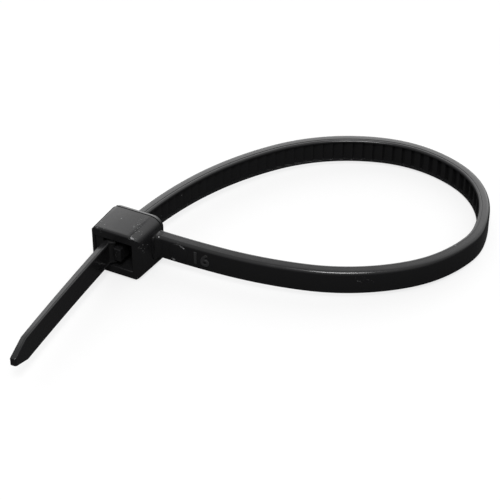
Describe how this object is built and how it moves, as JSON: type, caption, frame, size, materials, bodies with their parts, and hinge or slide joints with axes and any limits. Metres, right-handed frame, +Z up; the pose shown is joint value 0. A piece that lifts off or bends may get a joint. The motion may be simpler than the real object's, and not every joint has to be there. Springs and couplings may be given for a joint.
{
  "type": "cable tie",
  "caption": "Small self-locking nylon cable tie, looped back through its own head, with the toothed strap held by the pawl and the tail standing out of the slot.",
  "frame": {"origin": "centre of the bounding box on the surface that the tie lies on", "axes": "+Z up, across the strap's width; the tail points along -Y; the strap leaves the head along +X"},
  "size_m": [0.031, 0.0412, 0.005],
  "materials": {
    "cable_tie": "moulded black nylon, satin, with light scuffs on the head's top"
  },
  "bodies": {
    "root": {"cable_tie": "cable_tie"}
  },
  "joints": []
}
